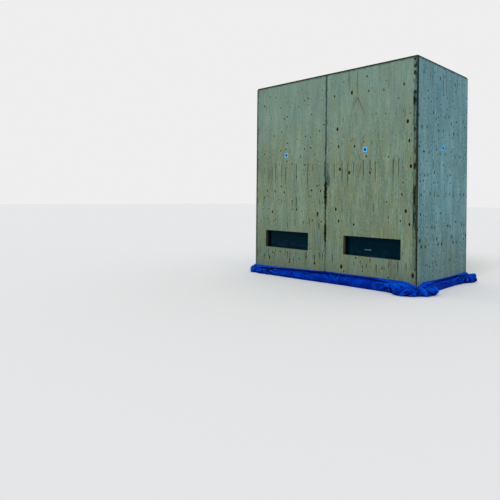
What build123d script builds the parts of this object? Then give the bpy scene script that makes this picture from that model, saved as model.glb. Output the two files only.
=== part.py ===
from build123d import *
import os

os.makedirs("parts", exist_ok=True)

# A plywood ice fishing hut, two sheets long and one sheet deep, standing on runners.
# The origin is on the ice under the middle of the hut. +Z is up, the long side lies along X,
# and the wall with the two windows faces -Y. All sizes are in millimetres.

# Plywood and timber as they are bought
front_sheet_width = 1220.0
side_sheet_width = 1220.0
sheet_height = 2440.0
wall_ply = 12.5
floor_ply = 15.5
roof_ply = 15.5
batten = 38.0
runner_width = 89.0
runner_height = 38.0

# How the pieces meet
seam_gap = 3.0
edge_hollow = 12.0
stud_spacing = 610.0
runner_nose = 70.0
runner_tip = 12.0

# Windows, cut straight through the two front sheets
window_width = 760.0
window_height = 222.0
window_sill = 306.0
window_inset = 275.0
pane_thickness = 4.0
pane_lap = 24.0

# Fishing holes in the floor
hole_size = 260.0
hole_offset = 276.0

# Door in the left end
door_width = 610.0
door_height = 1830.0
door_gap = 3.0
door_stop = 12.0
ledge_height = 89.0
ledge_thickness = 19.0
ledge_inset = 220.0

# Door ironwork
iron_plate = 3.0
screw_hole = 2.6
hinge_strap = 240.0
hinge_strap_root = 34.0
hinge_strap_tip = 20.0
hinge_flange_height = 100.0
hinge_flange_width = 36.0
hinge_barrel = 6.0
hinge_pin = 2.6
hinge_pin_play = 0.2
hinge_pin_head = 4.6
hinge_pin_head_height = 2.0
hinge_knuckle_play = 0.3
hinge_cut_margin = 0.5
hinge_screw_inset = 9.0
hinge_screw_shares = (0.2, 0.55, 0.95)
pull_span = 150.0
pull_strip = 22.0
pull_reach = 38.0
pull_foot = 30.0
pull_height = 930.0
pull_edge = 70.0
hasp_height = 1060.0
hasp_length = 115.0
hasp_width = 36.0
hasp_leaf = 34.0
hasp_over_sheet = 34.0
hasp_slot_length = 32.0
hasp_slot_width = 8.0
staple_wire = 5.0
staple_span = 24.0
staple_reach = 22.0
staple_bend = 9.0

# Square plastic markers on the sheets, with a round boss a little above the middle
marker_size = 58.0
marker_plate = 1.6
marker_disc = 13.0
marker_disc_rise = 5.0
marker_boss = 0.8
marker_left = -662.0
marker_right = 568.0
marker_side = -45.0
marker_front_level = 1513.0
marker_side_level = 1534.0

# Tarpaulin banked round the foot of the walls
skirt_height = 124.0
skirt_lip = 16.0
skirt_foot = 104.0
skirt_shoulder = 80.0
skirt_shoulder_height = 84.0
skirt_wad_foot = 142.0
skirt_wad_shoulder = 116.0
skirt_clear = 0.3
skirt_door_gap = 26.0

# Derived places
frame_length = 2 * front_sheet_width
frame_depth = side_sheet_width - 2 * wall_ply
half_length = frame_length / 2
half_depth = frame_depth / 2
hut_half_length = half_length + wall_ply
hut_half_depth = half_depth + wall_ply
floor_top = runner_height + floor_ply
plate_top = floor_top + batten
wall_bottom = runner_height
wall_top = wall_bottom + sheet_height
top_plate_bottom = wall_top - batten
sill_level = wall_bottom + window_sill
head_level = sill_level + window_height
door_cut_bottom = plate_top - door_stop
door_cut_top = door_cut_bottom + door_height
lintel_bottom = door_cut_top - door_stop
front_frame_y = -half_depth + batten / 2
side_frame_x = half_length - batten / 2
window_middle = window_inset + window_width / 2


def save(piece, label):
    piece.part.label = label
    export_step(piece.part, f"parts/{label}.step")


# Runners: flat timbers with both ends cut to a slope, so that the hut can be dragged
runner_y = half_depth - runner_width / 2
for name, y in {"runner_front": -runner_y, "runner_middle": 0.0, "runner_back": runner_y}.items():
    with BuildPart() as runner:
        with BuildSketch(Plane.XZ.offset(runner_width / 2 - y)):
            with BuildLine():
                Polyline(
                    (half_length, runner_height),
                    (half_length, runner_height - runner_tip),
                    (half_length - runner_nose, 0),
                    (-half_length + runner_nose, 0),
                    (-half_length, runner_height - runner_tip),
                    (-half_length, runner_height),
                    close=True,
                )
            make_face()
        extrude(amount=-runner_width)
    save(runner, name)

# Floor: one sheet on the runners, with two fishing holes on the window side
with BuildPart() as floor_sheet:
    with BuildSketch(Plane.XY.offset(runner_height)):
        Rectangle(frame_length, frame_depth)
        with Locations((-half_length / 2, -hole_offset), (half_length / 2, -hole_offset)):
            Rectangle(hole_size, hole_size, mode=Mode.SUBTRACT)
    extrude(amount=floor_ply)
save(floor_sheet, "floor_sheet")

# Bottom and top plates: long ones run through, end ones fit between them
end_plate_length = frame_depth - 2 * batten
for level, place in {floor_top: "bottom", top_plate_bottom: "top"}.items():
    for name, x, y, length, depth in (
        ("front", 0.0, front_frame_y, frame_length, batten),
        ("back", 0.0, -front_frame_y, frame_length, batten),
        ("left", -side_frame_x, 0.0, batten, end_plate_length),
        ("right", side_frame_x, 0.0, batten, end_plate_length),
    ):
        with BuildPart() as plate:
            with BuildSketch(Plane.XY.offset(level)):
                with Locations((x, y)):
                    Rectangle(length, depth)
            extrude(amount=batten)
        save(plate, f"{name}_{place}_plate")

# Front studs: corners, both sides of each window, the seam, and short ones over and under the windows
window_studs = (window_inset - batten / 2, window_inset + window_width + batten / 2)
front_stud_places = [0.0]
for x in (side_frame_x, *window_studs):
    front_stud_places += [-x, x]
with BuildPart() as front_studs:
    with BuildSketch(Plane.XY.offset(plate_top)):
        with Locations(*[(x, front_frame_y) for x in front_stud_places]):
            Rectangle(batten, batten)
    extrude(amount=top_plate_bottom - plate_top)
    with BuildSketch(Plane.XY.offset(head_level + batten)):
        with Locations((-window_middle, front_frame_y), (window_middle, front_frame_y)):
            Rectangle(batten, batten)
    extrude(amount=top_plate_bottom - head_level - batten)
    with BuildSketch(Plane.XY.offset(plate_top)):
        with Locations((-window_middle, front_frame_y), (window_middle, front_frame_y)):
            Rectangle(batten, batten)
    extrude(amount=sill_level - batten - plate_top)
save(front_studs, "front_studs")

# Rails under and over each window
with BuildPart() as window_rails:
    for level in (sill_level - batten, head_level):
        with BuildSketch(Plane.XY.offset(level)):
            with Locations((-window_middle, front_frame_y), (window_middle, front_frame_y)):
                Rectangle(window_width, batten)
        extrude(amount=batten)
save(window_rails, "window_rails")

# Back studs at the corners, the seam and the middle of each sheet
with BuildPart() as back_studs:
    with BuildSketch(Plane.XY.offset(plate_top)):
        with Locations(*[(x, -front_frame_y) for x in (-side_frame_x, -stud_spacing, 0, stud_spacing, side_frame_x)]):
            Rectangle(batten, batten)
    extrude(amount=top_plate_bottom - plate_top)
save(back_studs, "back_studs")

# One stud in the middle of the right end
with BuildPart() as right_stud:
    with BuildSketch(Plane.XY.offset(plate_top)):
        with Locations((side_frame_x, 0)):
            Rectangle(batten, batten)
    extrude(amount=top_plate_bottom - plate_top)
save(right_stud, "right_stud")

# Left end: two jamb studs that stop the door, a lintel between them and a short stud over it
jamb_y = door_width / 2 - door_stop + batten / 2
with BuildPart() as door_jambs:
    with BuildSketch(Plane.XY.offset(plate_top)):
        with Locations((-side_frame_x, -jamb_y), (-side_frame_x, jamb_y)):
            Rectangle(batten, batten)
    extrude(amount=top_plate_bottom - plate_top)
save(door_jambs, "door_jambs")

with BuildPart() as door_lintel:
    with BuildSketch(Plane.XY.offset(lintel_bottom)):
        with Locations((-side_frame_x, 0)):
            Rectangle(batten, 2 * jamb_y - batten)
    extrude(amount=batten)
    with BuildSketch(Plane.XY.offset(lintel_bottom + batten)):
        with Locations((-side_frame_x, 0)):
            Rectangle(batten, batten)
    extrude(amount=top_plate_bottom - lintel_bottom - batten)
save(door_lintel, "door_lintel")

# Roof: rafters between the long top plates, and one sheet flush with the front and back
with BuildPart() as rafters:
    with BuildSketch(Plane.XY.offset(top_plate_bottom)):
        with Locations((-stud_spacing, 0), (0, 0), (stud_spacing, 0)):
            Rectangle(batten, end_plate_length)
    extrude(amount=batten)
save(rafters, "rafters")

with BuildPart() as roof_sheet:
    with BuildSketch(Plane.XY.offset(wall_top)):
        Rectangle(frame_length, side_sheet_width)
    extrude(amount=roof_ply)
save(roof_sheet, "roof_sheet")

# Front sheets: each has its window, and the right one's outer edge has pulled back from the corner
with BuildPart() as front_sheet_left:
    with BuildSketch(Plane.XZ.offset(half_depth)):
        with Locations((-half_length / 2 - seam_gap / 4, wall_bottom + sheet_height / 2)):
            Rectangle(front_sheet_width - seam_gap / 2, sheet_height)
        with Locations((-window_middle, sill_level + window_height / 2)):
            Rectangle(window_width, window_height, mode=Mode.SUBTRACT)
    extrude(amount=wall_ply)
save(front_sheet_left, "front_sheet_left")

with BuildPart() as front_sheet_right:
    with BuildSketch(Plane.XZ.offset(half_depth)):
        with BuildLine():
            Polyline(
                (half_length, wall_top),
                (seam_gap / 2, wall_top),
                (seam_gap / 2, wall_bottom),
                (half_length, wall_bottom),
            )
            ThreePointArc(
                (half_length, wall_bottom),
                (half_length - edge_hollow, wall_bottom + sheet_height / 2),
                (half_length, wall_top),
            )
        make_face()
        with Locations((window_middle, sill_level + window_height / 2)):
            Rectangle(window_width, window_height, mode=Mode.SUBTRACT)
    extrude(amount=wall_ply)
save(front_sheet_right, "front_sheet_right")

# Back sheets, plain
for name, side in {"back_sheet_left": -1, "back_sheet_right": 1}.items():
    with BuildPart() as back_sheet:
        with BuildSketch(Plane.XZ.offset(-half_depth)):
            with Locations((side * (half_length / 2 + seam_gap / 4), wall_bottom + sheet_height / 2)):
                Rectangle(front_sheet_width - seam_gap / 2, sheet_height)
        extrude(amount=-wall_ply)
    save(back_sheet, name)

# End sheets overlap the edges of the long walls; the left one has the doorway
with BuildPart() as right_sheet:
    with BuildSketch(Plane.YZ.offset(half_length)):
        with Locations((0, wall_bottom + sheet_height / 2)):
            Rectangle(side_sheet_width, sheet_height)
    extrude(amount=wall_ply)
save(right_sheet, "right_sheet")

with BuildPart() as left_sheet:
    with BuildSketch(Plane.YZ.offset(-half_length)):
        with Locations((0, wall_bottom + sheet_height / 2)):
            Rectangle(side_sheet_width, sheet_height)
        with Locations((0, door_cut_bottom + door_height / 2)):
            Rectangle(door_width, door_height, mode=Mode.SUBTRACT)
    extrude(amount=-wall_ply)
save(left_sheet, "left_sheet")

# Window panes, screwed to the inner faces of the studs and rails
for name, side in {"window_pane_left": -1, "window_pane_right": 1}.items():
    with BuildPart() as window_pane:
        with BuildSketch(Plane.XZ.offset(half_depth - batten)):
            with Locations((side * window_middle, sill_level + window_height / 2)):
                Rectangle(window_width + 2 * pane_lap, window_height + 2 * pane_lap)
        extrude(amount=-pane_thickness)
    save(window_pane, name)

# Door: the piece cut out of the sheet, with two ledges across its inner face
with BuildPart() as door_leaf:
    with BuildSketch(Plane.YZ.offset(-half_length)):
        with Locations((0, door_cut_bottom + door_height / 2)):
            Rectangle(door_width - 2 * door_gap, door_height - 2 * door_gap)
    extrude(amount=-wall_ply)
save(door_leaf, "door_leaf")

ledge_levels = (door_cut_bottom + ledge_inset, door_cut_top - ledge_inset)
ledge_length = door_width - 2 * door_stop - 4 * door_gap
with BuildPart() as door_ledges:
    with BuildSketch(Plane.YZ.offset(-half_length)):
        with Locations(*[(0, level) for level in ledge_levels]):
            Rectangle(ledge_length, ledge_height)
    extrude(amount=ledge_thickness)
save(door_ledges, "door_ledges")

# Strap hinges on the door's back edge: the strap's knuckle turns between the flange's two on a pin
hinge_x = -hut_half_length - hinge_barrel
hinge_y = door_width / 2 - door_gap / 2
strap_end_y = hinge_y - hinge_strap
strap_screws = [hinge_y - hinge_strap * share for share in hinge_screw_shares]
flange_screw_y = hinge_y + hinge_barrel + (hinge_flange_width - hinge_barrel) / 2
flange_screw_z = hinge_flange_height / 2 - hinge_screw_inset
knuckle_half = hinge_strap_root / 2
flange_half = hinge_flange_height / 2

with BuildPart() as hinge_straps:
    for level in ledge_levels:
        with BuildSketch(Plane.YZ.offset(-hut_half_length)):
            with BuildLine():
                Polyline(
                    (strap_end_y, level - hinge_strap_tip / 2),
                    (hinge_y, level - knuckle_half),
                    (hinge_y, level + knuckle_half),
                    (strap_end_y, level + hinge_strap_tip / 2),
                )
                ThreePointArc(
                    (strap_end_y, level + hinge_strap_tip / 2),
                    (strap_end_y - hinge_strap_tip / 2, level),
                    (strap_end_y, level - hinge_strap_tip / 2),
                )
            make_face()
            with Locations(*[(y, level) for y in strap_screws]):
                Circle(screw_hole, mode=Mode.SUBTRACT)
        extrude(amount=-iron_plate)
        with BuildSketch(Plane.XY.offset(level - knuckle_half)):
            with Locations((hinge_x, hinge_y)):
                Circle(hinge_barrel)
        extrude(amount=hinge_strap_root)
        with BuildSketch(Plane.XY.offset(level - knuckle_half)):
            with Locations((hinge_x, hinge_y)):
                Circle(hinge_pin + hinge_pin_play)
        extrude(amount=hinge_strap_root, mode=Mode.SUBTRACT)
save(hinge_straps, "hinge_straps")

with BuildPart() as hinge_flanges:
    for level in ledge_levels:
        with BuildSketch(Plane.YZ.offset(-hut_half_length)):
            with Locations((hinge_y + hinge_flange_width / 2, level)):
                Rectangle(hinge_flange_width, hinge_flange_height)
            with Locations(*[(flange_screw_y, level + z) for z in (-flange_screw_z, 0, flange_screw_z)]):
                Circle(screw_hole, mode=Mode.SUBTRACT)
        extrude(amount=-iron_plate)
        with BuildSketch(Plane.XY.offset(level - flange_half)):
            with Locations((hinge_x, hinge_y)):
                Circle(hinge_barrel)
        extrude(amount=hinge_flange_height)
        with BuildSketch(Plane.XY.offset(level - flange_half)):
            with Locations((hinge_x, hinge_y)):
                Circle(hinge_pin + hinge_pin_play)
        extrude(amount=hinge_flange_height, mode=Mode.SUBTRACT)
        with BuildSketch(Plane.XY.offset(level - knuckle_half - hinge_knuckle_play)):
            with Locations((hinge_x, hinge_y)):
                Rectangle(2 * hinge_barrel + 2 * hinge_cut_margin, 2 * hinge_barrel + 2 * hinge_cut_margin)
        extrude(amount=hinge_strap_root + 2 * hinge_knuckle_play, mode=Mode.SUBTRACT)
save(hinge_flanges, "hinge_flanges")

with BuildPart() as hinge_pins:
    for level in ledge_levels:
        with BuildSketch(Plane.XY.offset(level - flange_half)):
            with Locations((hinge_x, hinge_y)):
                Circle(hinge_pin)
        extrude(amount=hinge_flange_height)
        with BuildSketch(Plane.XY.offset(level + flange_half)):
            with Locations((hinge_x, hinge_y)):
                Circle(hinge_pin_head)
        extrude(amount=hinge_pin_head_height)
save(hinge_pins, "hinge_pins")

# Door pull: a strip bent into a bow, with a foot at each end
pull_y = -door_width / 2 + pull_edge
pull_half = pull_span / 2
pull_face_x = -hut_half_length - iron_plate / 2
with BuildPart() as door_pull:
    with BuildSketch(Plane.XZ.offset(-pull_y - pull_strip / 2)):
        with BuildLine() as pull_line:
            FilletPolyline(
                (pull_face_x, pull_height - pull_half - pull_foot),
                (pull_face_x, pull_height - pull_half),
                (pull_face_x - pull_reach, pull_height - pull_half),
                (pull_face_x - pull_reach, pull_height + pull_half),
                (pull_face_x, pull_height + pull_half),
                (pull_face_x, pull_height + pull_half + pull_foot),
                radius=2 * iron_plate,
            )
        trace(pull_line.line, line_width=iron_plate)
    extrude(amount=pull_strip)
    with BuildSketch(Plane.YZ.offset(-hut_half_length)):
        with Locations(*[(pull_y, pull_height + way * (pull_half + pull_foot / 2)) for way in (-1, 1)]):
            Circle(screw_hole)
    extrude(amount=-iron_plate, mode=Mode.SUBTRACT)
save(door_pull, "door_pull")

# Hasp: a leaf screwed to the door and a slotted strap that laps over the gap onto the sheet
hasp_tip_y = -door_width / 2 - hasp_over_sheet
hasp_barrel_y = hasp_tip_y + hasp_length - hasp_leaf
staple_y = -door_width / 2 - hasp_over_sheet / 2
with BuildPart() as door_hasp:
    with BuildSketch(Plane.YZ.offset(-hut_half_length)):
        with Locations((hasp_tip_y + hasp_length / 2, hasp_height)):
            SlotOverall(hasp_length, hasp_width)
        with Locations((staple_y, hasp_height)):
            Rectangle(hasp_slot_width, hasp_slot_length, mode=Mode.SUBTRACT)
        with Locations(*[(hasp_barrel_y + hasp_leaf / 2, hasp_height + way * hasp_width / 4) for way in (-1, 1)]):
            Circle(screw_hole, mode=Mode.SUBTRACT)
    extrude(amount=-iron_plate)
    with BuildSketch(Plane.XY.offset(hasp_height - hasp_width / 2)):
        with Locations((-hut_half_length - iron_plate, hasp_barrel_y)):
            Circle(iron_plate)
    extrude(amount=hasp_width)
save(door_hasp, "door_hasp")

# Staple: a wire loop that stands out of the sheet through the hasp's slot
with BuildPart() as hasp_staple:
    with BuildSketch(Plane.XZ.offset(-staple_y - staple_wire / 2)):
        with BuildLine() as staple_line:
            FilletPolyline(
                (-hut_half_length, hasp_height - (staple_span - staple_wire) / 2),
                (-hut_half_length - staple_reach, hasp_height - (staple_span - staple_wire) / 2),
                (-hut_half_length - staple_reach, hasp_height + (staple_span - staple_wire) / 2),
                (-hut_half_length, hasp_height + (staple_span - staple_wire) / 2),
                radius=staple_bend,
            )
        trace(staple_line.line, line_width=staple_wire)
    extrude(amount=staple_wire)
save(hasp_staple, "hasp_staple")

# Markers: a pale square plate with a round boss
for name, plane, across, level in (
    ("marker_left", Plane.XZ.offset(hut_half_depth), marker_left, wall_bottom + marker_front_level),
    ("marker_right", Plane.XZ.offset(hut_half_depth), marker_right, wall_bottom + marker_front_level),
    ("marker_side", Plane.YZ.offset(hut_half_length), marker_side, wall_bottom + marker_side_level),
):
    with BuildPart() as marker:
        with BuildSketch(plane):
            with Locations((across, level)):
                Rectangle(marker_size, marker_size)
        extrude(amount=marker_plate)
        with BuildSketch(plane.offset(marker_plate)):
            with Locations((across, level + marker_disc_rise)):
                Circle(marker_disc)
        extrude(amount=marker_boss)
    save(marker, name)

# Skirt: a bank of folded tarpaulin, thick on the ice and thin where it leans on the wall.
# One profile, given by how far it stands out from the wall, serves every stretch and corner.
def skirt_profile(wall, outward, foot, shoulder):
    with BuildSketch(mode=Mode.PRIVATE) as profile:
        with BuildLine():
            Polyline(
                (wall, 0),
                (wall + outward * foot, 0),
                (wall + outward * foot, skirt_lip),
                (wall + outward * shoulder, skirt_shoulder_height),
                (wall + outward * skirt_lip, skirt_height),
                (wall, skirt_height),
                close=True,
            )
        make_face()
    return profile.sketch


skirt_x = hut_half_length + skirt_clear
skirt_y = hut_half_depth + skirt_clear
stub_end = door_width / 2 + skirt_door_gap

for name, outward in {"skirt_front": -1, "skirt_back": 1}.items():
    with BuildPart() as skirt:
        with BuildSketch(Plane.YZ.offset(-hut_half_length)):
            add(skirt_profile(outward * skirt_y, outward, skirt_foot, skirt_shoulder))
        extrude(amount=2 * hut_half_length)
    save(skirt, name)

# The right end has one long stretch. The left end has the door, so its skirt is only beside the doorway.
with BuildPart() as skirt_right:
    with BuildSketch(Plane.XZ.offset(-hut_half_depth)):
        add(skirt_profile(skirt_x, 1, skirt_foot, skirt_shoulder))
    extrude(amount=2 * hut_half_depth)
save(skirt_right, "skirt_right")

with BuildPart() as skirt_left:
    for start in (-stub_end, hut_half_depth):
        with BuildSketch(Plane.XZ.offset(-start)):
            add(skirt_profile(-skirt_x, -1, skirt_foot, skirt_shoulder))
        extrude(amount=hut_half_depth - stub_end)
save(skirt_left, "skirt_left")

# The spare cloth is bunched at the corners: each is a quarter turn of a fuller profile
with BuildPart() as skirt_corners:
    for side, end in ((1, -1), (-1, -1), (1, 1), (-1, 1)):
        with BuildSketch(Plane.XZ.offset(-end * skirt_y)):
            add(skirt_profile(side * skirt_x, side, skirt_wad_foot, skirt_wad_shoulder))
        revolve(
            axis=Axis((side * skirt_x, end * skirt_y, 0), (0, 0, 1)),
            revolution_arc=side * end * 90,
        )
save(skirt_corners, "skirt_corners")
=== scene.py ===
import math

import bpy
import numpy as np
from mathutils import Matrix, Vector


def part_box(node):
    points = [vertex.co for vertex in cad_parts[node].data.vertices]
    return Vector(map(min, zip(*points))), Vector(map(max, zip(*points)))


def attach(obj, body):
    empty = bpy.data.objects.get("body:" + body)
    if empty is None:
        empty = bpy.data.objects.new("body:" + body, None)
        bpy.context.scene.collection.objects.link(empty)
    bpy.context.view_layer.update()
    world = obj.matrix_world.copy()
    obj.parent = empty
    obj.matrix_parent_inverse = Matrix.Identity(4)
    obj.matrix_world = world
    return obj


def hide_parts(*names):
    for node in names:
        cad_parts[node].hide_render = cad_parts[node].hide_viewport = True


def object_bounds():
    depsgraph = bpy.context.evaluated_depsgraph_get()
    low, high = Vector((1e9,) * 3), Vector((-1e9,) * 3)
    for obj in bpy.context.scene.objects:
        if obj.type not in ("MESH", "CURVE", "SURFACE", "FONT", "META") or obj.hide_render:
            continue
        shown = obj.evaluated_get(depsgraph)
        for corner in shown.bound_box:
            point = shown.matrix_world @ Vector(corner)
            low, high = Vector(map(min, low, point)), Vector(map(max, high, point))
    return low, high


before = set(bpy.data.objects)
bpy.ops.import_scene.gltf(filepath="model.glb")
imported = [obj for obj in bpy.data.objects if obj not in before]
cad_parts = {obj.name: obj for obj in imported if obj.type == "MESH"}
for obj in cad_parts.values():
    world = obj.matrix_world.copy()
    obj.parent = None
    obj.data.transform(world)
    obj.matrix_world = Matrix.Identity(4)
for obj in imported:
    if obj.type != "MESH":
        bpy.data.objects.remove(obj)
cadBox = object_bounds()
print("frame loaded:", len(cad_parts), "nodes")

# Where the walls stand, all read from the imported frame, in metres
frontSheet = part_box("front_sheet_left")
frontFace = frontSheet[0][1]
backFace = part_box("back_sheet_left")[1][1]
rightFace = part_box("right_sheet")[1][0]
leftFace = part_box("left_sheet")[0][0]
wallFoot = frontSheet[0][2]
wallHead = frontSheet[1][2]


# A value that varies over a surface: one output of a node, which a formula treats as a plain number
class Value:
    def __init__(self, tree, socket):
        self.tree = tree
        self.socket = socket

    def __add__(self, other):
        return maths("ADD", self, other)

    def __sub__(self, other):
        return maths("SUBTRACT", self, other)

    def __rsub__(self, other):
        return maths("SUBTRACT", other, self)

    def __mul__(self, other):
        return maths("MULTIPLY", self, other)

    def __truediv__(self, other):
        return maths("DIVIDE", self, other)

    def __pow__(self, other):
        return maths("POWER", self, other)

    def __abs__(self):
        return maths("ABSOLUTE", self)

    def __gt__(self, other):
        return maths("GREATER_THAN", self, other)

    def __lt__(self, other):
        return maths("LESS_THAN", self, other)


def addNode(tree, kind, **settings):
    node = tree.nodes.new(kind)
    for name, value in settings.items():
        setattr(node, name, value)
    return node


def plug(socket, value):
    if isinstance(value, Value):
        value.tree.links.new(value.socket, socket)
    else:
        socket.default_value = value


# Adds a node to the tree that its values live in, and hands back the outputs asked for
def build(kind, values, outputs=(0,), **settings):
    tree = next(value.tree for value in values.values() if isinstance(value, Value))
    node = addNode(tree, kind, **settings)
    for key, value in values.items():
        plug(node.inputs[key], value)
    results = [Value(tree, node.outputs[key]) for key in outputs]
    return results[0] if len(results) == 1 else results


def source(tree, kind, output, **settings):  # a node that takes nothing in
    return Value(tree, addNode(tree, kind, **settings).outputs[output])


def maths(operation, *values):
    return build("ShaderNodeMath", dict(enumerate(values)), operation=operation)


def floor(value):
    return maths("FLOOR", value)


def fract(value):
    return maths("FRACT", value)


def reachOf(first, second):  # how far a place is from the middle, by Pythagoras
    return maths("SQRT", first ** 2 + second ** 2)


def ease(value, low, high, outLow=0.0, outHigh=1.0):
    values = dict(enumerate((value, low, high, outLow, outHigh)))
    return build("ShaderNodeMapRange", values, interpolation_type="SMOOTHSTEP")


def blend(share, first, second, mode="MIX"):
    return build("ShaderNodeMix", {0: share, 6: first, 7: second}, (2,), data_type="RGBA", blend_type=mode)


def joinXyz(parts):
    return build("ShaderNodeCombineXYZ", dict(enumerate(parts)))


def splitXyz(vector):
    return build("ShaderNodeSeparateXYZ", {0: vector}, (0, 1, 2))


def noise(place, detail=2.0, rough=0.5, scale=1.0):
    values = {"Vector": joinXyz(place), "Scale": scale, "Detail": detail, "Roughness": rough}
    return build("ShaderNodeTexNoise", values, ("Fac",))


def lotsAt(first, second):  # three random numbers for each pair of whole numbers
    values = {"Vector": joinXyz((first, second))}
    return splitXyz(build("ShaderNodeTexWhiteNoise", values, ("Color",), noise_dimensions="2D"))


def linear(red, green, blue):  # a colour picked as 0 to 255 screen values
    share = np.array([red, green, blue]) / 255
    light = np.where(share <= 0.04045, share / 12.92, ((share + 0.055) / 1.055) ** 2.4)
    return (*[float(v) for v in light], 1.0)


# Turns a formula into a node group, a colour wherever a name ends in colour. The formula's name then adds that
# group to the tree that its values live in.
def shared(inputs, outputs):
    inputs, outputs = inputs.split(), outputs.split()

    def makeGroup(formula):
        group = bpy.data.node_groups.new(formula.__name__, "ShaderNodeTree")
        for way, names in (("INPUT", inputs), ("OUTPUT", outputs)):
            for name in names:
                kind = "NodeSocketColor" if name.lower().endswith("colour") else "NodeSocketFloat"
                group.interface.new_socket(name, in_out=way, socket_type=kind)
        given = addNode(group, "NodeGroupInput").outputs
        results = formula(*[Value(group, given[name]) for name in inputs])
        put = addNode(group, "NodeGroupOutput").inputs
        for name, result in zip(outputs, results if len(outputs) > 1 else [results]):
            plug(put[name], result)
        return lambda *values: build("ShaderNodeGroup", dict(zip(inputs, values)), outputs, node_tree=group)

    return makeGroup


def newMaterial(name):
    material = bpy.data.materials.new(name)
    material.use_nodes = True
    return material, material.node_tree


def objectXyz(tree):
    return splitXyz(source(tree, "ShaderNodeTexCoord", "Object"))


def normalXyz(tree):
    return splitXyz(source(tree, "ShaderNodeNewGeometry", "Normal"))


# The bump is a height, its strength and the distance that it stands for
def setShader(tree, colour, rough, bump=None, gloss=0.5, glossTint=(1, 1, 1, 1), metal=0.0):
    shader = tree.nodes["Principled BSDF"].inputs
    plug(shader["Base Color"], colour)
    plug(shader["Roughness"], rough)
    plug(shader["Specular IOR Level"], gloss)
    plug(shader["Specular Tint"], glossTint)
    plug(shader["Metallic"], metal)
    if bump:
        plug(shader["Normal"], build("ShaderNodeBump", dict(zip(("Height", "Strength", "Distance"), bump))))


# Knot: a dark core in a pale bruised ring, taller than wide, its outline roughened by noise
@shared("across along knotAcross knotAlong radius", "core ring")
def knot(across, along, knotAcross, knotAlong, radius):
    reach = reachOf(across - knotAcross, (along - knotAlong) * 0.66)
    share = reach / (radius * (noise((across, along), scale=90.0) * 0.7 + 0.65))
    return ease(share, 1.25, 0.75), ease(share, 3.4, 1.0)


# Veneer: rotary-cut softwood. Fine fibre and wider streaks run along the grain, wavy growth bands wander
# across it, olive and bluish clouds tint it, and small knots sit in cells of a loose grid.
@shared(
    "across along seed knotRate knotSize checks figure paleColour darkColour oliveColour coolColour",
    "colour height weather knots rings slits",
)
def veneer(across, along, seed, knotRate, knotSize, checks, figure, pale, dark, olive, cool):
    def stretched(perAcross, perAlong, shift, detail=2.0, rough=0.5):
        return noise((across * perAcross, along * perAlong, seed + shift), detail, rough)

    bandWidth = 0.052
    wander = (stretched(2.2, 0.7, 3.1) - 0.5) * 0.55
    wiggle = stretched(26.0, 1.3, 5.7, 3.0) * 5.0
    growth = ease(maths("SINE", (across + wander) * (2 * math.pi / bandWidth) + wiggle), 0.1, 1.0)
    fibre = stretched(560.0, 16.0, 0.0, 3.0, 0.6)
    fleck = stretched(130.0, 30.0, 1.7, 3.0, 0.65)
    line = stretched(165.0, 4.5, 12.6, 3.0, 0.6)
    streak = (line + fleck) * 0.5
    broad = stretched(12.0, 1.6, 2.4, 4.0)
    weather = stretched(2.1, 1.2, 7.9, 4.0, 0.6)

    tone = fibre * 0.22 + (streak * 0.76 + broad * 0.24) * 0.78
    colour = blend(ease(tone, 0.43, 0.565), dark, pale)
    colour = blend(ease(stretched(14.0, 4.0, 11.2, 4.0, 0.6), 0.42, 0.68) * 0.6, colour, olive)
    colour = blend(ease(stretched(12.0, 3.0, 15.9, 4.0, 0.6), 0.48, 0.70) * 0.45, colour, cool)
    patch = ease(stretched(1.6, 0.8, 4.4), 0.45, 0.7)
    colour = blend(growth * patch * figure * 0.4, colour, linear(104, 100, 68))

    # small knots: one in most cells, its size drawn from the cell's own lot
    spots = joinXyz((across * knotRate, along * knotRate * 0.7, seed))
    values = {"Vector": spots, "Scale": 1.0, "Randomness": 0.86}
    gap, lots = build("ShaderNodeTexVoronoi", values, ("Distance", "Color"), voronoi_dimensions="2D")
    lot = splitXyz(lots)
    limit = (lot[0] ** 2 * 0.0045 + 0.0052) * knotRate * knotSize * (lot[1] > 0.36)
    share = gap / maths("MAXIMUM", limit, 0.0001)
    core = ease(share, 1.3, 0.75) * (lot[2] * 0.4 + 0.6)

    # checks: thin dark slits where a finely stretched noise peaks, only in dried patches
    dried = ease(stretched(3.2, 1.6, 6.6), 0.45, 0.6)
    slit = ease(stretched(150.0, 3.4, 9.3, 2.0, 0.4), 0.645, 0.70) * dried * checks
    height = fibre * 0.35 + streak * 0.25 - slit + core * 0.3
    return colour, height, weather, core, ease(share, 3.2, 1.0) * 0.4, slit * 0.7


# Row of checks: slits that hang from one height, each a random way along its own cell and of its own length
@shared("across along top length spacing share seed", "mask")
def checkRow(across, along, top, length, spacing, share, seed):
    place = across / spacing
    index = floor(place)
    lot = lotsAt(index, seed)
    bend = (noise((index, along * 18.0)) - 0.5) * 0.16
    aside = abs(fract(place) - (lot[0] * 0.6 + 0.2 + bend)) * spacing
    down = (lot[2] * 0.05 + top - along) / (length * (lot[1] * 0.75 + 0.25))
    inside = (down > 0.0) * ease(down, 1.0, 0.55)
    slit = ease(aside / (lot[1] * 0.0022 + 0.0028), 1.3, 0.6)
    return slit * inside * (fract(lot[2] * 7.31) < share)


# Whorl: the branches of one ring leave a row of small knots across the sheet, each a little off its place
@shared("across along level spacing radius", "mask")
def whorl(across, along, level, spacing, radius):
    place = across / spacing
    lot = lotsAt(floor(place), level)
    aside = (fract(place) - (lot[0] * 0.5 + 0.25)) * spacing
    above = (along - ((lot[1] - 0.5) * 0.045 + level)) * 0.7
    return ease(reachOf(aside, above) / (radius * (lot[2] * 0.8 + 0.45)), 1.35, 0.7)


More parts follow.
